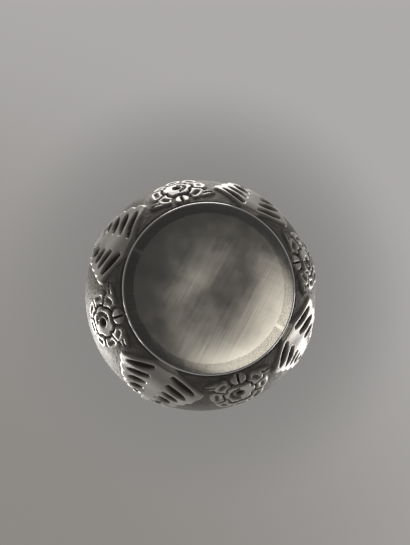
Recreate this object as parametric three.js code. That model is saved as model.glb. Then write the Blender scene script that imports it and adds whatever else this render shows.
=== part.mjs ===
// A small round silver box: a raised bowl with chased leaves and flowers, a plate soldered under it,
// and a domed lid with a lotus bud finial that lifts off. Millimetres, +Z up, origin under the plate.
import * as THREE from 'three';

// Driving dimensions of the bowl
const widestRadius = 22;
const widestHeight = 15;
const bowlDepthReach = 19.5;
const bowlTopReach = 18.4;
const bowlWall = 0.8;
const mouthHeight = 21;

// Base plate
const plateRadius = 15;
const plateThickness = 1;
const plateEdgeRound = 0.4;
const plateDish = 0.3;
const restingRingWidth = 2.2;

// Lid and its seat
const lidWall = 0.8;
const lidBandHeight = 2.6;
const lidHeight = 12.3;
const lidTopFlatRadius = 6;
const collarWall = 0.6;
const collarBelowMouth = 2.6;
const collarAboveMouth = 2.4;

// Wires and finial
const wireHeight = 1;
const wireBulge = 0.5;
const wireFromEdge = 0.1;
const pegRadius = 1.1;
const rosetteRadius = 5.4;
const rosetteHeight = 1.2;
const neckRadius = 1.9;
const neckHeight = 1;
const budRadius = 2.7;
const budHeight = 5.2;
const washerRadius = 3;
const washerThickness = 0.7;
const rivetHeadRadius = 1.8;
const rivetHeadHeight = 0.5;

// Clearances
const solderGap = 0.1;
const lidTurningGap = 0.15;
const lidSeatGap = 0.1;
const pegGap = 0.15;

// Chased ornament
const patternRepeats = 4;
const leafRise = 0.5;
const flowerRise = 0.5;
const flowerRadius = 5.1;
const leafHalfWidth = 7.6;
const leafFingers = 4;
const facetsAround = 72;
const bowlRows = 14;
const lidRows = 10;

// Places worked out from the dimensions above
const bowlFoot = plateThickness;
const mouthRadius = bowlRadiusAt(mouthHeight);
const mouthInnerRadius = mouthRadius - bowlWall;
const collarRadius = mouthInnerRadius - solderGap;
const lidInnerRadius = collarRadius + lidTurningGap;
const lidRadius = lidInnerRadius + lidWall;
const lidFoot = mouthHeight + lidSeatGap;
const lidShoulder = lidFoot + lidBandHeight;
const lidTop = lidFoot + lidHeight;
const pegHoleRadius = pegRadius + pegGap;
const flowerHeight = bowlFoot + 4.6;

function bowlRadiusAt(z) {
  const reach = z < widestHeight ? bowlDepthReach : bowlTopReach;
  return widestRadius * Math.sqrt(1 - ((z - widestHeight) / reach) ** 2);
}

function lidReach() {
  const share = lidTopFlatRadius / lidRadius;
  return (lidTop - lidShoulder) / Math.sqrt(1 - share * share);
}

function lidRadiusAt(z) {
  if (z <= lidShoulder) return lidRadius;
  return lidRadius * Math.sqrt(1 - ((z - lidShoulder) / lidReach()) ** 2);
}

// Height of a leaf above the ground at a place across it and along it, both in millimetres
function leafHeight(across, along, length) {
  const share = along / length;
  if (share <= 0 || share >= 1) return 0;
  const width = leafHalfWidth * Math.min(1, 0.55 + 2.4 * share) * (1 - share ** 2.2);
  const edge = Math.max(0, Math.min(1, (width - Math.abs(across)) / 1.2));
  const finger = 0.5 + 0.5 * Math.cos(2 * Math.PI * (leafFingers * share - Math.abs(across) / 9));
  const midrib = Math.abs(across) < 1.2 ? 1 : 0;
  return leafRise * edge * Math.max(midrib, 0.35 + 0.65 * finger);
}

// Height of a domed flower with a hollow eye at a distance from its centre
function flowerHeightAt(distance) {
  const share = distance / flowerRadius;
  if (share >= 1) return 0;
  return flowerRise * (1 - share ** 4) * (share < 0.25 ? share / 0.25 : 1);
}

// Height of the chased ground over a turn, for a repeat that has a leaf at its middle and flowers between
function ornament(angle, along, radius, length, flowerAlong) {
  const repeat = (2 * Math.PI) / patternRepeats;
  const fromLeaf = angle - repeat * Math.round(angle / repeat);
  const fromFlower = repeat / 2 - Math.abs(fromLeaf);
  const flowerDistance = Math.hypot(fromFlower * radius, along - flowerAlong);
  return Math.max(leafHeight(fromLeaf * radius, along, length), flowerHeightAt(flowerDistance));
}

// A closed shell from a profile that starts and ends on the axis, or closes on itself round a hole.
// Each profile point is [radius, height, rise], where rise gives the ornament's height for an angle.
function turned(profile, closesOnItself, facets = facetsAround) {
  const positions = [];
  const rings = profile.map(([radius, height, rise]) => {
    if (radius < 1e-9) {
      positions.push(0, 0, height);
      return [positions.length / 3 - 1];
    }
    const ring = [];
    for (let i = 0; i < facets; i += 1) {
      const angle = (2 * Math.PI * i) / facets;
      const [out, up] = rise ? rise(angle) : [0, 0];
      positions.push((radius + out) * Math.cos(angle), (radius + out) * Math.sin(angle), height + up);
      ring.push(positions.length / 3 - 1);
    }
    return ring;
  });
  const faces = [];
  const bands = closesOnItself ? rings.length : rings.length - 1;
  for (let k = 0; k < bands; k += 1) {
    const lower = rings[k];
    const upper = rings[(k + 1) % rings.length];
    for (let i = 0; i < facets; i += 1) {
      const j = (i + 1) % facets;
      if (lower.length === 1) faces.push(lower[0], upper[j], upper[i]);
      else if (upper.length === 1) faces.push(lower[i], lower[j], upper[0]);
      else faces.push(lower[i], lower[j], upper[j], lower[i], upper[j], upper[i]);
    }
  }
  const geometry = new THREE.BufferGeometry();
  geometry.setAttribute('position', new THREE.Float32BufferAttribute(positions, 3));
  geometry.setIndex(faces);
  geometry.computeVertexNormals();
  return geometry;
}

// A profile point whose ornament stands off the wall along the wall's own normal
function ornamented(radius, height, normal, along, length, flowerAlong) {
  const rise = (angle) => {
    const lift = ornament(angle, along, radius, length, flowerAlong);
    return [lift * normal[0], lift * normal[1]];
  };
  return [radius, height, rise];
}

// Points along a wall from one height to another, with the outward normal and the length walked so far
function wall(radiusAt, from, to, rows) {
  const points = [];
  let walked = 0;
  for (let k = 0; k <= rows; k += 1) {
    const z = from + ((to - from) * k) / rows;
    const slope = (radiusAt(z + 1e-3) - radiusAt(z - 1e-3)) / 2e-3;
    const size = Math.hypot(1, slope);
    if (k > 0) walked += Math.hypot(radiusAt(z) - points[k - 1].radius, z - points[k - 1].z);
    points.push({ radius: radiusAt(z), z, walked, normal: [1 / size, -slope / size] });
  }
  return points;
}

function bowlProfile() {
  const outer = wall(bowlRadiusAt, bowlFoot, mouthHeight, bowlRows);
  const length = outer[bowlRows].walked;
  const flowerAlong = flowerHeight - bowlFoot + 1.4;
  const profile = [[0, bowlFoot]];
  outer.forEach((point, k) => {
    const plain = k === 0 || k >= bowlRows - 1;
    profile.push(plain ? [point.radius, point.z]
      : ornamented(point.radius, point.z, point.normal, point.walked, length * 0.9, flowerAlong));
  });
  const innerRows = bowlRows / 2;
  for (let k = 0; k <= innerRows; k += 1) {
    const z = mouthHeight - ((mouthHeight - bowlFoot - bowlWall) * k) / innerRows;
    profile.push([bowlRadiusAt(z) - bowlWall, z]);
  }
  profile.push([0, bowlFoot + bowlWall]);
  return profile;
}

// The lid's profile closes on itself round the hole that the finial's peg passes through
function lidProfile() {
  const dome = wall(lidRadiusAt, lidShoulder, lidTop, lidRows);
  const length = dome[lidRows].walked;
  const profile = [[lidInnerRadius, lidFoot], [lidRadius, lidFoot]];
  dome.forEach((point, k) => {
    const plain = k === 0 || k === lidRows;
    profile.push(plain ? [point.radius, point.z]
      : ornamented(point.radius, point.z, point.normal, point.walked, length, length * 0.45));
  });
  profile.push([pegHoleRadius, lidTop], [pegHoleRadius, lidTop - lidWall]);
  const innerRows = lidRows / 2;
  for (let k = 0; k < innerRows; k += 1) {
    const share = k / innerRows;
    const z = lidTop - lidWall - (lidTop - lidWall - lidShoulder) * share;
    profile.push([Math.max(pegHoleRadius + 1, lidRadiusAt(z + lidWall * (1 - share)) - lidWall), z]);
  }
  profile.push([lidInnerRadius, lidShoulder]);
  return profile;
}

function platedDisc() {
  const round = plateEdgeRound * (1 - Math.SQRT1_2);
  const ringInner = plateRadius - plateEdgeRound - restingRingWidth;
  return turned([
    [0, plateDish],
    [ringInner * 0.6, plateDish],
    [ringInner, 0],
    [plateRadius - plateEdgeRound, 0],
    [plateRadius - round, round],
    [plateRadius, plateEdgeRound],
    [plateRadius, plateThickness],
    [0, plateThickness],
  ], false);
}

// A half round wire soldered round a wall, from its flat inner face outwards
function halfRoundWire(radius, middle) {
  const profile = [[radius, middle - wireHeight / 2]];
  for (let k = 1; k < 6; k += 1) {
    const turn = (Math.PI * k) / 6 - Math.PI / 2;
    profile.push([radius + wireBulge * Math.cos(turn), middle + (wireHeight / 2) * Math.sin(turn)]);
  }
  profile.push([radius, middle + wireHeight / 2]);
  return turned(profile, true);
}

function ringOf(inner, outer, low, high, facets) {
  return turned([[inner, low], [outer, low], [outer, high], [inner, high]], true, facets);
}

// Eight petals round the finial's foot, drawn as a rise and fall of its edge
function rosette() {
  const petals = (share) => (angle) => [share * (Math.abs(Math.cos(4 * angle)) - 1) * 0.9, 0];
  return turned([
    [pegHoleRadius, lidTop],
    [rosetteRadius, lidTop, petals(1)],
    [rosetteRadius, lidTop + rosetteHeight * 0.35, petals(1)],
    [rosetteRadius * 0.8, lidTop + rosetteHeight * 0.8, petals(0.6)],
    [rosetteRadius * 0.5, lidTop + rosetteHeight, petals(0)],
    [pegHoleRadius, lidTop + rosetteHeight],
  ], true, 64);
}

// The bud and the peg under it, which passes through the lid and is riveted over the washer
function budAndPeg() {
  const foot = lidTop + rosetteHeight + neckHeight;
  const under = lidTop - lidWall - washerThickness;
  const profile = [
    [0, under - rivetHeadHeight],
    [rivetHeadRadius * 0.8, under - rivetHeadHeight],
    [rivetHeadRadius, under],
    [pegRadius, under],
    [pegRadius, foot],
  ];
  const steps = 10;
  for (let k = 0; k < steps; k += 1) {
    const share = k / steps;
    const radius = budRadius * Math.sin(Math.PI * (0.22 + 0.78 * share)) ** 0.8 * (1 - 0.25 * share);
    profile.push([radius, foot + budHeight * share]);
  }
  profile.push([0, foot + budHeight]);
  return turned(profile, false, 40);
}

const silver = { metalness: 1 };
const brightSilver = new THREE.MeshStandardMaterial({ color: 0xb4b0aa, roughness: 0.25, ...silver });
const chasedSilver = new THREE.MeshStandardMaterial({ color: 0x8a857d, roughness: 0.42, ...silver });
const plainSilver = new THREE.MeshStandardMaterial({ color: 0xa6a29b, roughness: 0.35, ...silver });

const box = new THREE.Group();
const body = new THREE.Group();
const lid = new THREE.Group();
box.add(body, lid);

function place(group, name, geometry, material) {
  const mesh = new THREE.Mesh(geometry, material.clone());
  mesh.name = name;
  group.add(mesh);
}

const bodyWireMiddle = mouthHeight - wireFromEdge - wireHeight / 2;
const bodyWireRadius = bowlRadiusAt(bodyWireMiddle - wireHeight / 2) + solderGap;
const lidWireMiddle = lidFoot + wireFromEdge + wireHeight / 2;
const neckFoot = lidTop + rosetteHeight;

place(body, 'base_plate', platedDisc(), brightSilver);
place(body, 'body_shell', turned(bowlProfile(), false), chasedSilver);
place(body, 'body_rim_wire', halfRoundWire(bodyWireRadius, bodyWireMiddle), plainSilver);
place(body, 'lid_seat_collar', ringOf(collarRadius - collarWall, collarRadius,
  mouthHeight - collarBelowMouth, mouthHeight + collarAboveMouth), plainSilver);
place(lid, 'lid_shell', turned(lidProfile(), true), chasedSilver);
place(lid, 'lid_rim_wire', halfRoundWire(lidRadius + solderGap, lidWireMiddle), plainSilver);
place(lid, 'finial_rosette', rosette(), chasedSilver);
place(lid, 'finial_ring', ringOf(pegHoleRadius, neckRadius, neckFoot, neckFoot + neckHeight, 40), plainSilver);
place(lid, 'finial_bud', budAndPeg(), plainSilver);
place(lid, 'finial_washer', ringOf(pegHoleRadius, washerRadius,
  lidTop - lidWall - washerThickness, lidTop - lidWall, 40), plainSilver);

export default box;
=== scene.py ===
"""A small round silver box, seen from under its base plate: chased bowl, domed lid and bud finial."""
import logging
import math
from dataclasses import dataclass, field
from enum import Enum
from typing import Callable

import bpy
import numpy as np
from mathutils import Matrix, Vector


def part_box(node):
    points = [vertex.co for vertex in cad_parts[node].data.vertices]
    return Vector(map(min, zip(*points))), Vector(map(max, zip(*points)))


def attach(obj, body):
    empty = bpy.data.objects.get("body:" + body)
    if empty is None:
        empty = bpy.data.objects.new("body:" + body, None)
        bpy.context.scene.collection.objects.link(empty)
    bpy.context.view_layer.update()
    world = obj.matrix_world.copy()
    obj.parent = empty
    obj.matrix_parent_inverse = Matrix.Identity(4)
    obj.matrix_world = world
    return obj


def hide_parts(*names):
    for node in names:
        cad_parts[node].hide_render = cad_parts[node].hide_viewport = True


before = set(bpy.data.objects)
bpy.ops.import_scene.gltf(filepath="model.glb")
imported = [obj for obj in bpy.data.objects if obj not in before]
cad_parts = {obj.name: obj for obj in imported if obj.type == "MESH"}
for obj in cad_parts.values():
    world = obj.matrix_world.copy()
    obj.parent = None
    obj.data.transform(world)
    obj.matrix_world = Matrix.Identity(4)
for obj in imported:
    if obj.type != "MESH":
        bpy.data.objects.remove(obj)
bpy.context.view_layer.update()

LOG = logging.getLogger("silver_box")
MM = 0.001
REPEATS = 4
STEPS_AROUND = 640
INSIDE_TARNISH = 0.3
EDGE_TARNISH = 0.4
FOOT_TARNISH = 0.5
Triple = tuple[float, float, float]


class Slot(Enum):
    """The record's finishes bright_silver and chased_silver; no piece here is given them."""

    BRIGHT = "bright_silver"
    CHASED = "chased_silver"


def smooth(low: float, high: float, value: np.ndarray) -> np.ndarray:
    """Rises smoothly from 0 at low to 1 at high."""
    share = np.clip((value - low) / (high - low), 0.0, 1.0)
    return share * share * (3.0 - 2.0 * share)


def near_segment(u: np.ndarray, v: np.ndarray, start: tuple[float, float],
                 end: tuple[float, float]) -> tuple[np.ndarray, np.ndarray]:
    """Measures points against a straight stroke.

    Args:
        u: Places across the pattern, in mm.
        v: Places along the pattern, in mm.
        start: Where the stroke starts.
        end: Where the stroke ends.

    Returns:
        The distance to the stroke in mm, and the share of it walked at the nearest point.
    """
    du, dv = end[0] - start[0], end[1] - start[1]
    share = np.clip(((u - start[0]) * du + (v - start[1]) * dv) / (du * du + dv * dv), 0.0, 1.0)
    return np.hypot(u - start[0] - share * du, v - start[1] - share * dv), share


@dataclass
class LeafPattern:
    """A leaf whose fingers rise from a broad midrib, each with a boat-shaped hollow."""

    length: float
    finger_count: int = 6
    finger_half_width: float = 1.15
    widest_reach: float = 8.0
    slope_deg: float = 36.0
    fingered_share: float = 0.72
    first_finger: float = 0.15
    taper: float = 0.35
    midrib_half_width: float = 1.15
    hollow_half_width: float = 0.55
    hollow_from_midrib: float = 0.55
    hollow_from_tip: float = 0.75

    def height(self, u: np.ndarray, v: np.ndarray) -> tuple[np.ndarray, np.ndarray]:
        """Works out the leaf's relief.

        Args:
            u: Places across the leaf from its midrib, in mm.
            v: Places along it from its foot, in mm.

        Returns:
            The height, 0 on the ground to 1 on the leaf, and the depth of its hollows, 0 to 1.
        """
        across = np.abs(u)
        rise = math.radians(self.slope_deg)
        raised = np.zeros_like(u)
        hollow = np.zeros_like(u)
        pitch = self.length * self.fingered_share / self.finger_count
        for k in range(self.finger_count):
            share = k / self.finger_count
            reach = self.widest_reach * (1.0 - share) ** 0.75
            width = self.finger_half_width * (1.0 - self.taper * share)
            foot = pitch * (k + self.first_finger)
            tip = (reach * math.cos(rise) * 1.05, foot + reach * math.sin(rise))
            away = near_segment(across, v, (0.0, foot), tip)[0]
            raised = np.maximum(raised, smooth(0.28, -0.22, away - width))
            start = self.midrib_half_width + self.hollow_from_midrib
            inner = (start, foot + start * math.tan(rise))
            outer = (tip[0] - self.hollow_from_tip, tip[1] - self.hollow_from_tip * math.tan(rise))
            if outer[0] > inner[0] + 0.4:
                away, walked = near_segment(across, v, inner, outer)
                boat = self.hollow_half_width * np.sin(np.pi * (0.18 + 0.7 * walked))
                hollow = np.maximum(hollow, smooth(0.18, -0.22, away - boat))
        spine = near_segment(across, v, (0.0, 0.0), (0.0, self.length - 1.0))[0]
        midrib = self.midrib_half_width * (1.0 - 0.5 * np.clip(v / self.length, 0.0, 1.0))
        raised = np.maximum(raised, smooth(0.25, -0.2, spine - midrib))
        hollow = hollow * (1.0 - smooth(0.2, -0.2, spine - midrib))
        return raised, hollow * raised


@dataclass
class FlowerPattern:
    """A round flower of two rings of petals, a hollow eye, a split bud below and a leaf each side."""

    centre_along: float
    radius: float = 5.3
    petal_count: int = 8
    inner_share: float = 0.56
    eye_radius: float = 0.75
    bud_along: float = 1.25
    wing_reach: float = 6.4

    def height(self, u: np.ndarray, v: np.ndarray) -> tuple[np.ndarray, np.ndarray]:
        """Works out the flower's relief.

        Args:
            u: Places across the flower from its middle, in mm.
            v: Places along the wall from its foot, in mm.

        Returns:
            The height, 0 on the ground to 1 on the flower, and the depth of its hollows, 0 to 1.
        """
        away = np.hypot(u, v - self.centre_along)
        turn = np.arctan2(u, v - self.centre_along)
        scallop = np.abs(np.cos(self.petal_count * turn / 2.0))
        edge = self.radius * (0.83 + 0.17 * np.sqrt(scallop))
        raised = smooth(0.25, -0.25, away - edge)
        outer_cut = smooth(0.24, 0.04, np.abs(np.sin(self.petal_count * turn / 2.0 + math.pi / 2))
                           * away / 2.6) * smooth(0.42, 0.6, away / self.radius)
        curl = smooth(0.5, 0.2, np.abs(away - self.radius * 0.78)) * smooth(0.55, 0.95, scallop)
        inner_edge = self.radius * self.inner_share * (0.84 + 0.16 * np.abs(np.sin(3.0 * turn)))
        ring = smooth(0.3, 0.06, np.abs(away - inner_edge))
        ticks = (0.5 + 0.5 * np.cos(22.0 * turn)) * smooth(0.5, 0.2, np.abs(away - 1.45)) * 0.8
        eye = smooth(self.eye_radius + 0.2, self.eye_radius - 0.2, away)
        hollow = np.maximum.reduce([outer_cut, 0.55 * curl, ring, ticks * (turn > 0), eye])
        bud_away = np.hypot(u / 1.35, (v - self.bud_along) / 1.25)
        bud = smooth(1.12, 0.86, bud_away)
        slit = smooth(0.26, 0.08, np.abs(u)) * smooth(1.0, 0.7, bud_away)
        around_bud = smooth(0.35, 0.1, np.abs(bud_away - 1.25)) * (v < self.centre_along)
        across = np.abs(u)
        wing_away, walked = near_segment(across, v, (1.5, 1.9), (self.wing_reach, 2.7))
        wing = smooth(0.15, -0.15, wing_away - 0.85 * np.sin(np.pi * (0.12 + 0.85 * walked)))
        wing = wing * (1.0 - raised)
        vein = smooth(0.22, 0.05, wing_away) * wing
        raised = np.maximum.reduce([raised * (1.0 - around_bud), bud, wing])
        hollow = np.maximum.reduce([hollow * (1.0 - bud), slit, vein, around_bud * 0.8])
        return raised, hollow * raised


@dataclass
class Chasing:
    """The whole chased pattern over a wall: leaves, flowers between them and a stippled ground."""

    leaf: LeafPattern
    flower: FlowerPattern
    border_from: float
    rise: float
    hollow_depth: float = 0.62
    hand_swell: float = 0.1
    bead_rise: float = 0.12
    bead_count: int = 96
    ground_tarnish: float = 0.6
    hollow_tarnish: float = 0.95
    border_tarnish: float = 0.35

    def relief(self, angle: np.ndarray, radius: np.ndarray,
               along: np.ndarray) -> tuple[np.ndarray, np.ndarray]:
        """Works out the relief over the wall.

        Args:
            angle: Angle about the box's axis.
            radius: Radius of the plain wall, in mm.
            along: Length walked up the wall from its foot, in mm.

        Returns:
            How far the surface stands off the wall in mm, and how dark its tarnish is, 0 to 1.
        """
        repeat = 2.0 * math.pi / REPEATS
        wander = 0.02 * np.sin(3.0 * angle + 0.7) + 0.012 * np.sin(7.0 * angle)
        turned = angle + wander
        from_leaf = turned - repeat * np.round(turned / repeat)
        from_flower = turned - repeat * (np.floor(turned / repeat) + 0.5)
        leaf, leaf_hollow = self.leaf.height(from_leaf * radius, along)
        flower, flower_hollow = self.flower.height(from_flower * radius, along)
        flower = flower * (1.0 - smooth(0.05, 0.4, leaf))
        raised = np.maximum(leaf, flower)
        hollow = np.maximum(leaf_hollow, flower_hollow * (flower >= leaf))
        inside = smooth(self.border_from + 0.3, self.border_from - 0.3, along)
        fade_in = smooth(0.0, 0.5, along)
        stand_off = self.rise * raised - self.hollow_depth * hollow
        swell = self.hand_swell * np.sin(5.0 * angle + along) * raised
        tarnish = np.clip(self.ground_tarnish * (1.0 - raised) + self.hollow_tarnish * hollow, 0.0, 1.0)
        border = 1.0 - inside
        beads = self.bead_rise * border * np.cos(angle * self.bead_count)
        return ((stand_off + swell) * inside * fade_in + beads * fade_in,
                tarnish * inside + self.border_tarnish * border)

    def rings(self, wall: "Wall", rows: int) -> tuple[list[np.ndarray], list[np.ndarray]]:
        """Lays the pattern over a wall, with its first and last rings left plain.

        Args:
            wall: The plain wall.
            rows: How many rows of faces it takes.

        Returns:
            The rings of points in metres, and each ring's tarnish.
        """
        r, z, along, out, up = wall.points(rows)
        angle = np.linspace(0.0, 2.0 * math.pi, STEPS_AROUND, endpoint=False)
        rings, dark = [], []
        for k in range(len(r)):
            place = np.full_like(angle, r[k]), np.full_like(angle, along[k])
            lift, tarnish = self.relief(angle, *place)
            if k in (0, len(r) - 1):
                lift = lift * 0.0
            rings.append(ring_at(r[k] + lift * out[k], z[k] + lift * up[k]))
            dark.append(tarnish)
        return rings, dark


@dataclass
class Wall:
    """A round wall as a radius for each height, in mm."""

    radius_at: Callable[[np.ndarray], np.ndarray]
    low: float
    high: float

    def points(self, rows: int) -> tuple[np.ndarray, np.ndarray, np.ndarray, np.ndarray, np.ndarray]:
        """Walks up the wall in steps of even length.

        Args:
            rows: How many steps to take.

        Returns:
            Radii, heights, lengths walked, and the outward normal's two parts.
        """
        fine = np.linspace(self.low, self.high, 4000)
        radii = self.radius_at(fine)
        walked = np.concatenate([[0.0], np.cumsum(np.hypot(np.diff(radii), np.diff(fine)))])
        along = np.linspace(0.0, walked[-1], rows + 1)
        z = np.interp(along, walked, fine)
        r = np.interp(along, walked, radii)
        slope_r, slope_z = np.gradient(r), np.gradient(z)
        size = np.hypot(slope_r, slope_z)
        return r, z, along, slope_z / size, -slope_r / size

    def length(self, rows: int) -> float:
        """The wall's length from its foot to its top, in mm."""
        return self.points(rows)[2][-1]


def grid_piece(name: str, rings: list[np.ndarray], tarnish: list[np.ndarray],
               close_round: bool) -> bpy.types.Object:
    """Makes a closed piece from rings of points, with its tarnish as an attribute.

    Args:
        name: The new object's name.
        rings: Rings of points in metres, a pole being a ring of one point.
        tarnish: How dark each ring's points are.
        close_round: True where the last ring joins the first, round a hole.

    Returns:
        The new object.
    """
    starts = np.cumsum([0] + [len(ring) for ring in rings])
    faces: list[tuple[int, ...]] = []
    count = len(rings) if close_round else len(rings) - 1
    for k in range(count):
        low, high = rings[k], rings[(k + 1) % len(rings)]
        a, b = int(starts[k]), int(starts[(k + 1) % len(rings)])
        steps = max(len(low), len(high))
        for i in range(steps):
            j = (i + 1) % steps
            if len(low) == 1:
                faces.append((a, b + j, b + i))
            elif len(high) == 1:
                faces.append((a + i, a + j, b))
            else:
                faces.append((a + i, a + j, b + j, b + i))
    mesh = bpy.data.meshes.new(name)
    mesh.from_pydata(np.concatenate(rings).tolist(), [], faces)
    layer = mesh.attributes.new("tarnish", "FLOAT", "POINT")
    layer.data.foreach_set("value", np.concatenate(tarnish).astype(np.float32))
    mesh.polygons.foreach_set("use_smooth", np.ones(len(faces), dtype=bool))
    mesh.update()
    piece = bpy.data.objects.new(name, mesh)
    bpy.context.scene.collection.objects.link(piece)
    return piece


def ring_at(radius: np.ndarray | float, height: np.ndarray | float,
            steps: int = STEPS_AROUND) -> np.ndarray:
    """A ring of points in metres about the box's axis, from sizes in mm."""
    angle = np.linspace(0.0, 2.0 * math.pi, steps, endpoint=False)
    radius, height = np.broadcast_to(radius, angle.shape), np.broadcast_to(height, angle.shape)
    return np.stack([radius * np.cos(angle), radius * np.sin(angle), height], axis=1) * MM


def even_tarnish(value: float) -> np.ndarray:
    """The same tarnish all round one ring."""
    return np.full(STEPS_AROUND, value)


def new_material(name: str) -> tuple[bpy.types.Material, bpy.types.NodeTree, bpy.types.Node]:
    """A new metal material, its node tree and its shader."""
    material = bpy.data.materials.new(name)
    material.use_nodes = True
    shader = material.node_tree.nodes["Principled BSDF"]
    shader.inputs["Metallic"].default_value = 1.0
    return material, material.node_tree, shader


def noise(tree: bpy.types.NodeTree, scale: float, detail: float,
          stretch: Triple = (1.0, 1.0, 1.0)) -> bpy.types.NodeSocket:
    """A noise value on object coordinates, with its pattern stretched along the axes.

    Args:
        tree: The material's nodes.
        scale: How many lumps to a metre.
        detail: How many finer layers it has.
        stretch: How much each axis is scaled.

    Returns:
        The noise.
    """
    place = tree.nodes.new("ShaderNodeTexCoord")
    mapping = tree.nodes.new("ShaderNodeMapping")
    mapping.inputs["Scale"].default_value = stretch
    texture = tree.nodes.new("ShaderNodeTexNoise")
    texture.inputs["Scale"].default_value = scale
    texture.inputs["Detail"].default_value = detail
    tree.links.new(place.outputs["Object"], mapping.inputs["Vector"])
    tree.links.new(mapping.outputs["Vector"], texture.inputs["Vector"])
    return texture.outputs["Fac"]


def ramp(tree: bpy.types.NodeTree, value: bpy.types.NodeSocket, low: Triple,
         high: Triple, at: tuple[float, float]) -> bpy.types.NodeSocket:
    """A colour that goes from low to high as the value goes between two places.

    Args:
        tree: The material's nodes.
        value: What the colour follows.
        low: The colour below the first place.
        high: The colour above the second place.
        at: The two places.

    Returns:
        The colour.
    """
    node = tree.nodes.new("ShaderNodeValToRGB")
    node.color_ramp.elements[0].position, node.color_ramp.elements[1].position = at
    node.color_ramp.elements[0].color = (*low, 1.0)
    node.color_ramp.elements[1].color = (*high, 1.0)
    tree.links.new(value, node.inputs["Fac"])
    return node.outputs["Color"]


def bump(tree: bpy.types.NodeTree, value: bpy.types.NodeSocket, depth: float, strength: float,
         before: bpy.types.NodeSocket | None = None) -> bpy.types.NodeSocket:
    """A bump of a real depth in metres, on top of an earlier one where given.

    Args:
        tree: The material's nodes.
        value: The bump's height, 0 to 1.
        depth: What a height of 1 stands for, in metres.
        strength: The share of the bump that shows.
        before: The normal it is laid on.

    Returns:
        The bumped normal.
    """
    node = tree.nodes.new("ShaderNodeBump")
    node.inputs["Distance"].default_value = depth
    node.inputs["Strength"].default_value = strength
    tree.links.new(value, node.inputs["Height"])
    if before is not None:
        tree.links.new(before, node.inputs["Normal"])
    return node.outputs["Normal"]


@dataclass(frozen=True)
class PolishedSilver:
    """The base plate's finish: polished, planished by hand and finely scratched."""

    light: Triple = (0.72, 0.71, 0.68)
    dull: Triple = (0.60, 0.575, 0.55)
    smoothest: float = 0.09
    roughest: float = 0.16
    planish_depth: float = 0.00006
    scratch_depth: float = 0.00001

    def make(self) -> bpy.types.Material:
        """The finished material."""
        material, tree, shader = new_material("polished_silver")
        cloud = noise(tree, 90.0, 3.0)
        tree.links.new(ramp(tree, cloud, self.dull, self.light, (0.35, 0.65)),
                       shader.inputs["Base Color"])
        tree.links.new(ramp(tree, noise(tree, 260.0, 6.0), (self.smoothest,) * 3,
                            (self.roughest,) * 3, (0.3, 0.7)),
                       shader.inputs["Roughness"])
        swell = bump(tree, noise(tree, 45.0, 0.5), self.planish_depth, 0.6)
        along = noise(tree, 900.0, 4.0, (1.0, 0.08, 1.0))
        across = noise(tree, 1100.0, 4.0, (0.07, 1.0, 1.0))
        scratch = bump(tree, along, self.scratch_depth, 0.35, swell)
        cross = bump(tree, across, self.scratch_depth, 0.3, scratch)
        tree.links.new(cross, shader.inputs["Normal"])
        return material


@dataclass(frozen=True)
class ChasedSilver:
    """The chased walls: worn bright on the high places, dark brown-grey tarnish in the recesses."""

    high: Triple = (0.40, 0.375, 0.345)
    low: Triple = (0.085, 0.076, 0.066)
    smoothest: float = 0.32
    roughest: float = 0.62
    cloud_share: float = 0.45
    dots_per_metre: float = 1900.0
    dot_depth: float = 0.00012
    grain_depth: float = 0.00003

    def make(self) -> bpy.types.Material:
        """The finished material."""
        material, tree, shader = new_material("chased_silver_tarnished")
        tarnish = tree.nodes.new("ShaderNodeAttribute")
        tarnish.attribute_name = "tarnish"
        cloud = noise(tree, 420.0, 5.0)
        mixed = tree.nodes.new("ShaderNodeMath")
        mixed.operation = "MULTIPLY_ADD"
        mixed.inputs[1].default_value = self.cloud_share
        tree.links.new(cloud, mixed.inputs[0])
        tree.links.new(tarnish.outputs["Fac"], mixed.inputs[2])
        tree.links.new(ramp(tree, mixed.outputs[0], self.high, self.low, (0.22, 1.0)),
                       shader.inputs["Base Color"])
        rough = ramp(tree, mixed.outputs[0], (self.smoothest,) * 3, (self.roughest,) * 3, (0.2, 1.0))
        tree.links.new(rough, shader.inputs["Roughness"])
        place = tree.nodes.new("ShaderNodeTexCoord")
        dots = tree.nodes.new("ShaderNodeTexVoronoi")
        dots.inputs["Scale"].default_value = self.dots_per_metre
        tree.links.new(place.outputs["Object"], dots.inputs["Vector"])
        masked = tree.nodes.new("ShaderNodeMath")
        masked.operation = "MULTIPLY"
        tree.links.new(dots.outputs["Distance"], masked.inputs[0])
        tree.links.new(tarnish.outputs["Fac"], masked.inputs[1])
        stipple = bump(tree, masked.outputs[0], self.dot_depth, 0.8)
        grain = bump(tree, noise(tree, 1500.0, 5.0), self.grain_depth, 0.6, stipple)
        tree.links.new(grain, shader.inputs["Normal"])
        return material


@dataclass(frozen=True)
class PlainSilver:
    """Wires, collar and finial: satin silver, lightly tarnished."""

    clean: Triple = (0.58, 0.56, 0.53)
    dark: Triple = (0.24, 0.225, 0.205)
    smoothest: float = 0.26
    roughest: float = 0.42
    grain_depth: float = 0.00002

    def make(self) -> bpy.types.Material:
        """The finished material."""
        material, tree, shader = new_material("plain_silver_satin")
        cloud = noise(tree, 330.0, 6.0)
        tree.links.new(ramp(tree, cloud, self.dark, self.clean, (0.25, 0.6)),
                       shader.inputs["Base Color"])
        rough = ramp(tree, cloud, (self.roughest,) * 3, (self.smoothest,) * 3, (0.3, 0.7))
        tree.links.new(rough, shader.inputs["Roughness"])
        grain = bump(tree, noise(tree, 1400.0, 5.0), self.grain_depth, 0.5)
        tree.links.new(grain, shader.inputs["Normal"])
        return material


def node_top(node: str) -> float:
    """The height of a node's top, in mm."""
    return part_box(node)[1][2] / MM


def node_radius(node: str) -> float:
    """Half a node's width, in mm."""
    low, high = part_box(node)
    return (high[0] - low[0]) / 2.0 / MM


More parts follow.
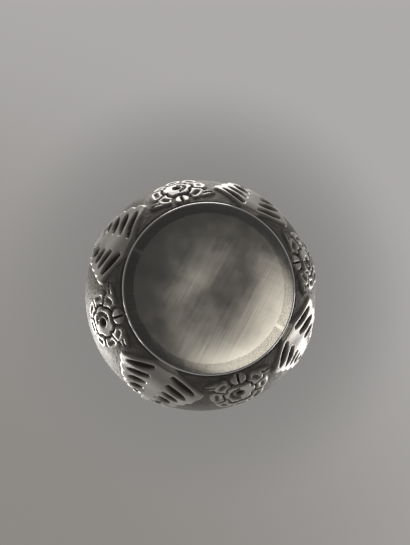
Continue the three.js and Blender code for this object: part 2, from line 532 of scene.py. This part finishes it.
@dataclass
class Bowl:
    """The raised bowl with its chased wall."""

    wall: float = 0.8
    widest_height: float = 15.0
    reach_below: float = 19.5
    reach_above: float = 18.4
    relief_room: float = 0.5
    swell_room: float = 0.1
    leaf_share: float = 0.86
    flower_along: float = 5.4
    border: float = 1.6
    rows: int = 120
    inner_rows: int = 14
    foot: float = field(default_factory=lambda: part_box("body_shell")[0][2] / MM)
    mouth: float = field(default_factory=lambda: node_top("body_shell"))
    widest: float = field(default_factory=lambda: node_radius("body_shell"))

    def radius_at(self, z: np.ndarray) -> np.ndarray:
        """The plain wall's radius at each height."""
        reach = np.where(z < self.widest_height, self.reach_below, self.reach_above)
        share = (z - self.widest_height) / reach
        return (self.widest - self.relief_room) * np.sqrt(1.0 - share ** 2)

    def build(self, material: bpy.types.Material) -> bpy.types.Object:
        """Builds and dresses the bowl.

        Args:
            material: The chased silver.

        Returns:
            The bowl.
        """
        outside = Wall(self.radius_at, self.foot, self.mouth)
        length = outside.length(self.rows)
        chasing = Chasing(LeafPattern(length=length * self.leaf_share),
                          FlowerPattern(centre_along=self.flower_along),
                          border_from=length - self.border, rise=self.relief_room - self.swell_room)
        rings, dark = chasing.rings(outside, self.rows)
        rings.insert(0, np.array([[0.0, 0.0, self.foot * MM]]))
        dark.insert(0, np.array([FOOT_TARNISH]))
        floor = self.foot + self.wall
        for height in np.linspace(self.mouth, floor, self.inner_rows):
            rings.append(ring_at(float(self.radius_at(np.array(height))) - self.wall, height))
            dark.append(even_tarnish(INSIDE_TARNISH))
        rings.append(np.array([[0.0, 0.0, floor * MM]]))
        dark.append(np.array([INSIDE_TARNISH]))
        piece = grid_piece("chased_bowl", rings, dark, close_round=False)
        piece.data.materials.append(material)
        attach(piece, "body")
        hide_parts("body_shell")
        return piece


@dataclass
class Lid:
    """The raised lid with its straight band and chased dome."""

    wall: float = 0.8
    band: float = 2.6
    top_flat: float = 6.0
    hole: float = 1.25
    relief_room: float = 0.45
    swell_room: float = 0.1
    leaf_share: float = 0.95
    leaf_reach: float = 7.0
    flower_along: float = 6.0
    border: float = 1.2
    rows: int = 96
    inner_rows: int = 12
    flat_inside: float = 1.0
    foot: float = field(default_factory=lambda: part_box("lid_shell")[0][2] / MM)
    top: float = field(default_factory=lambda: node_top("lid_shell"))
    collar: float = field(default_factory=lambda: node_radius("lid_seat_collar"))
    turning_gap: float = 0.15

    @property
    def radius(self) -> float:
        """The band's outer radius."""
        return self.collar + self.turning_gap + self.wall

    def radius_at(self, z: np.ndarray) -> np.ndarray:
        """The dome's radius at each height."""
        shoulder = self.foot + self.band
        share = self.top_flat / self.radius
        reach = (self.top - shoulder) / math.sqrt(1.0 - share * share)
        climbed = np.maximum(z - shoulder, 0.0) / reach
        return self.radius * np.sqrt(np.clip(1.0 - climbed ** 2, 0.0, 1.0))

    def build(self, material: bpy.types.Material) -> bpy.types.Object:
        """Builds and dresses the lid.

        Args:
            material: The chased silver.

        Returns:
            The lid.
        """
        shoulder = self.foot + self.band
        dome = Wall(self.radius_at, shoulder, self.top)
        length = dome.length(self.rows)
        chasing = Chasing(LeafPattern(length=length * self.leaf_share, widest_reach=self.leaf_reach),
                          FlowerPattern(centre_along=self.flower_along),
                          border_from=length - self.border, rise=self.relief_room - self.swell_room)
        chased, tarnish = chasing.rings(dome, self.rows)
        under = self.top - self.wall
        rings = [ring_at(self.radius - self.wall, self.foot), ring_at(self.radius, self.foot), *chased,
                 ring_at(self.hole, self.top), ring_at(self.hole, under)]
        dark = [even_tarnish(INSIDE_TARNISH), even_tarnish(EDGE_TARNISH), *tarnish,
                even_tarnish(EDGE_TARNISH), even_tarnish(INSIDE_TARNISH)]
        for share in np.linspace(0.0, 1.0, self.inner_rows, endpoint=False):
            height = under - (under - shoulder) * share
            radius = float(self.radius_at(np.array(height + self.wall * (1.0 - share)))) - self.wall
            rings.append(ring_at(max(radius, self.hole + self.flat_inside), height))
            dark.append(even_tarnish(INSIDE_TARNISH))
        rings.append(ring_at(self.radius - self.wall, shoulder))
        dark.append(even_tarnish(INSIDE_TARNISH))
        piece = grid_piece("chased_lid", rings, dark, close_round=True)
        piece.data.materials.append(material)
        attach(piece, "lid")
        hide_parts("lid_shell")
        return piece


@dataclass
class BasePlate:
    """The round plate soldered under the bowl, dished a little inside its resting ring."""

    dish: float = 0.22
    ring_width: float = 1.6
    edge_round: float = 0.38
    hand_swell: float = 0.09
    rows: int = 40
    edge_rows: int = 7
    steps: int = 256
    radius: float = field(default_factory=lambda: node_radius("base_plate"))
    top: float = field(default_factory=lambda: node_top("base_plate"))

    def build(self, material: bpy.types.Material) -> bpy.types.Object:
        """Builds and dresses the plate.

        Args:
            material: The polished silver.

        Returns:
            The plate.
        """
        ring = self.radius - self.edge_round - self.ring_width
        angle = np.linspace(0.0, 2.0 * math.pi, self.steps, endpoint=False)
        rings = [np.array([[0.0, 0.0, self.dish * MM]])]
        for radius in np.linspace(ring / self.rows, ring, self.rows):
            share = radius / ring
            swell = self.hand_swell * np.sin(2.0 * angle + 0.4 * radius) * share ** 2 * (1.0 - share)
            height = self.dish * (1.0 - share) ** 2 * (1.0 + 2.0 * share) + swell
            rings.append(ring_at(radius, height, self.steps))
        middle = self.radius - self.edge_round
        for turn in np.linspace(0.0, math.pi / 2, self.edge_rows):
            rings.append(ring_at(middle + self.edge_round * math.sin(turn),
                                 self.edge_round * (1.0 - math.cos(turn)), self.steps))
        rings += [ring_at(self.radius, self.top, self.steps), np.array([[0.0, 0.0, self.top * MM]])]
        piece = grid_piece("polished_plate", rings, [np.zeros(len(points)) for points in rings], False)
        piece.data.materials.append(material)
        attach(piece, "body")
        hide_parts("base_plate")
        return piece


@dataclass
class Fittings:
    """The wires, collar and finial, which keep the shapes that the frame gives them."""

    plain: tuple[str, ...] = ("body_rim_wire", "lid_seat_collar", "lid_rim_wire", "finial_ring",
                              "finial_bud", "finial_washer", "finial_rosette")

    def dress(self, satin: bpy.types.Material) -> None:
        """Gives each fitting the satin silver."""
        for name in self.plain:
            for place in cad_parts[name].material_slots:
                place.material = satin


@dataclass
class Eye:
    """The photograph's camera, under the box and a little off its axis."""

    lens: float = 45.6
    sensor: float = 36.0
    frame_width: float = 410.0
    frame_height: float = 545.0
    distance: float = 118.5
    plate_x: float = 210.0
    plate_y: float = 287.5
    lean_right: float = -0.11
    lean_down: float = 0.115
    leaf_angle_deg: float = 61.8

    @property
    def pixels(self) -> float:
        """How many pixels a slope of 1 takes up."""
        return self.lens / self.sensor * self.frame_height

    def seen(self, x: float, y: float) -> Vector:
        """What the camera sees at a pixel, as a direction right, down and away."""
        return Vector((x - self.frame_width / 2, y - self.frame_height / 2, self.pixels))

    def axes(self) -> tuple[Vector, Vector, Vector, Vector]:
        """The row's origin and axes as the camera sees them: right, down and away."""
        origin = self.seen(self.plate_x, self.plate_y) / self.pixels * self.distance
        away = math.sqrt(1.0 - self.lean_right ** 2 - self.lean_down ** 2)
        up_axis = Vector((self.lean_right, self.lean_down, away))
        turn = math.radians(self.leaf_angle_deg)
        leaf = Vector((math.cos(turn), -math.sin(turn), 0.0))
        leaf = (leaf - up_axis * leaf.dot(up_axis)).normalized()
        return origin, leaf, up_axis.cross(leaf), up_axis

    def to_row(self, seen: Vector) -> Vector:
        """Turns a direction the camera sees into the row frame."""
        _, x, y, z = self.axes()
        return Vector((seen.dot(x), seen.dot(y), seen.dot(z)))

    def build(self) -> bpy.types.Object:
        """Builds the camera and makes it the scene's own.

        Returns:
            The camera.
        """
        origin = self.axes()[0]
        right = self.to_row(Vector((1.0, 0.0, 0.0)))
        up = self.to_row(Vector((0.0, -1.0, 0.0)))
        back = self.to_row(Vector((0.0, 0.0, -1.0)))
        data = bpy.data.cameras.new("camera")
        data.lens, data.sensor_width, data.clip_start = self.lens, self.sensor, 0.002
        camera = bpy.data.objects.new("camera", data)
        turned = Matrix((right, up, back)).transposed().to_4x4()
        camera.matrix_world = Matrix.Translation(-self.to_row(origin) * MM) @ turned
        bpy.context.scene.collection.objects.link(camera)
        bpy.context.scene.camera = camera
        return camera


@dataclass(frozen=True)
class Lamp:
    """A soft square lamp that faces the box."""

    name: str
    place: Triple
    size: float
    power: float

    def build(self) -> bpy.types.Object:
        """Builds the lamp.

        Returns:
            The lamp.
        """
        data = bpy.data.lights.new(self.name, "AREA")
        data.size, data.energy = self.size, self.power
        lamp = bpy.data.objects.new(self.name, data)
        lamp.location = self.place
        lamp.rotation_euler = (-Vector(self.place)).to_track_quat("-Z", "Y").to_euler()
        bpy.context.scene.collection.objects.link(lamp)
        return lamp


@dataclass
class Studio:
    """The pale floor, the soft room that the silver reflects, and the lamps."""

    eye: Eye
    window_x: float = 315.0
    window_y: float = 392.0
    # Where the painted shadow round the box sits on the backdrop, in pixels from the plate.
    painted_shade_right: float = -8.0
    painted_shade_down: float = 6.0
    # Which way the backdrop's painted darker corner lies as the camera sees it: left and down.
    painted_dim_corner: Triple = (-0.45, 0.62, 1.0)
    below_light: Triple = (0.16, 0.16, 0.165)
    above_light: Triple = (0.62, 0.61, 0.60)
    under_dark: Triple = (0.06, 0.059, 0.058)
    window_light: Triple = (1.45, 1.37, 1.2)
    backdrop: Triple = (0.418, 0.405, 0.398)
    # Colour of the backdrop's painted darker corner.
    backdrop_painted_dim: Triple = (0.265, 0.252, 0.238)
    # Colour of the painted shadow round the box on the backdrop.
    backdrop_painted_shade: Triple = (0.25, 0.243, 0.235)
    floor_size: float = 1.6
    floor_colour: Triple = (0.62, 0.61, 0.6)
    floor_roughness: float = 0.9
    lamps: tuple[Lamp, ...] = (Lamp("key_lamp", (-0.35, -0.3, 0.5), 0.35, 3.0),
                               Lamp("fill_lamp", (0.45, -0.25, 0.3), 0.4, 1.5),
                               Lamp("back_lamp", (0.1, 0.5, 0.4), 0.4, 1.5))

    def spot(self, tree: bpy.types.NodeTree, direction: Vector, edge_deg: float,
             core_deg: float) -> bpy.types.NodeSocket:
        """A soft spot of the sky round a direction.

        Args:
            tree: The world's nodes.
            direction: Where the spot's middle is.
            edge_deg: The spot's outer edge, from its middle.
            core_deg: The edge of its core.

        Returns:
            A value of 1 in the core and 0 past the edge.
        """
        place = tree.nodes.new("ShaderNodeTexCoord")
        dot = tree.nodes.new("ShaderNodeVectorMath")
        dot.operation = "DOT_PRODUCT"
        dot.inputs[1].default_value = direction.normalized()
        rise = tree.nodes.new("ShaderNodeMapRange")
        rise.interpolation_type = "SMOOTHSTEP"
        rise.inputs["From Min"].default_value = math.cos(math.radians(edge_deg))
        rise.inputs["From Max"].default_value = math.cos(math.radians(core_deg))
        tree.links.new(place.outputs["Generated"], dot.inputs[0])
        tree.links.new(dot.outputs["Value"], rise.inputs["Value"])
        return rise.outputs["Result"]

    def mixed(self, tree: bpy.types.NodeTree, share: bpy.types.NodeSocket,
              low: Triple | bpy.types.NodeSocket,
              high: Triple | bpy.types.NodeSocket) -> bpy.types.NodeSocket:
        """A colour between two.

        Args:
            tree: The world's nodes.
            share: How far the colour is from the first to the second.
            low: The first colour, or a socket that gives it.
            high: The second colour, or a socket that gives it.

        Returns:
            The mixed colour.
        """
        node = tree.nodes.new("ShaderNodeMix")
        node.data_type = "RGBA"
        tree.links.new(share, node.inputs["Factor"])
        for socket, value in (("A", low), ("B", high)):
            target = [s for s in node.inputs if s.name == socket and s.type == "RGBA"][0]
            if isinstance(value, bpy.types.NodeSocket):
                tree.links.new(value, target)
            else:
                target.default_value = (*value, 1.0)
        return [s for s in node.outputs if s.type == "RGBA"][0]

    def room(self) -> None:
        """The world: what lights the silver, and the backdrop that the camera sees, with a painted soft
        shadow round the box and a painted darker corner.
        """
        world = bpy.data.worlds.new("room")
        world.use_nodes = True
        bpy.context.scene.world = world
        tree = world.node_tree
        background = tree.nodes["Background"]
        ray = self.eye.to_row(self.eye.seen(self.window_x, self.window_y))
        mirrored = Vector((ray.x, ray.y, -ray.z))
        up = Vector((0.0, 0.0, 1.0))
        lit = self.mixed(tree, self.spot(tree, up, 115.0, 40.0), self.below_light, self.above_light)
        lit = self.mixed(tree, self.spot(tree, -up, 42.0, 8.0), lit, self.under_dark)
        lit = self.mixed(tree, self.spot(tree, mirrored, 12.0, 5.0), lit, self.window_light)
        # Painted shadow: a soft dark spot on the backdrop round the box, drawn by direction in place of the
        # box's cast shadow.
        shade = self.eye.to_row(self.eye.seen(self.eye.plate_x + self.painted_shade_right,
                                              self.eye.plate_y + self.painted_shade_down))
        # Painted shade: the backdrop is made darker towards its lower left corner.
        corner = self.eye.to_row(Vector(self.painted_dim_corner))
        pale = self.mixed(tree, self.spot(tree, corner, 52.0, 8.0), self.backdrop, self.backdrop_painted_dim)
        pale = self.mixed(tree, self.spot(tree, shade, 18.0, 7.0), pale, self.backdrop_painted_shade)
        path = tree.nodes.new("ShaderNodeLightPath")
        shown = self.mixed(tree, path.outputs["Is Camera Ray"], lit, pale)
        tree.links.new(shown, background.inputs["Color"])

    def floor(self) -> None:
        """A pale floor under the plate, which only shows from above and keeps the box's shadow."""
        bpy.ops.object.select_all(action="DESELECT")
        bpy.ops.mesh.primitive_plane_add(size=self.floor_size, location=(0.0, 0.0, 0.0))
        floor = bpy.context.object
        floor.name = "floor"
        floor.visible_diffuse = floor.visible_glossy = floor.visible_shadow = False
        material = bpy.data.materials.new("floor_pale")
        material.use_nodes = True
        tree = material.node_tree
        shader = tree.nodes["Principled BSDF"]
        shader.inputs["Base Color"].default_value = (*self.floor_colour, 1.0)
        shader.inputs["Roughness"].default_value = self.floor_roughness
        side = tree.nodes.new("ShaderNodeNewGeometry")
        clear = tree.nodes.new("ShaderNodeBsdfTransparent")
        mix = tree.nodes.new("ShaderNodeMixShader")
        tree.links.new(side.outputs["Backfacing"], mix.inputs[0])
        tree.links.new(shader.outputs[0], mix.inputs[1])
        tree.links.new(clear.outputs[0], mix.inputs[2])
        tree.links.new(mix.outputs[0], tree.nodes["Material Output"].inputs["Surface"])
        floor.data.materials.append(material)

    def build(self) -> None:
        """Builds the whole studio."""
        self.room()
        self.floor()
        for lamp in self.lamps:
            lamp.build()
        bpy.context.scene.view_settings.view_transform = "Standard"


def main() -> None:
    """Builds the camera, the box and its studio."""
    logging.basicConfig(level=logging.INFO)
    eye = Eye()
    eye.build()
    LOG.info("camera placed")
    polished, chased, satin = PolishedSilver().make(), ChasedSilver().make(), PlainSilver().make()
    LOG.info("built %s", Bowl().build(chased).name)
    LOG.info("built %s", Lid().build(chased).name)
    LOG.info("built %s", BasePlate().build(polished).name)
    Fittings().dress(satin)
    LOG.info("dressed the fittings")
    Studio(eye).build()
    LOG.info("built the studio")


if __name__ == "__main__":
    main()
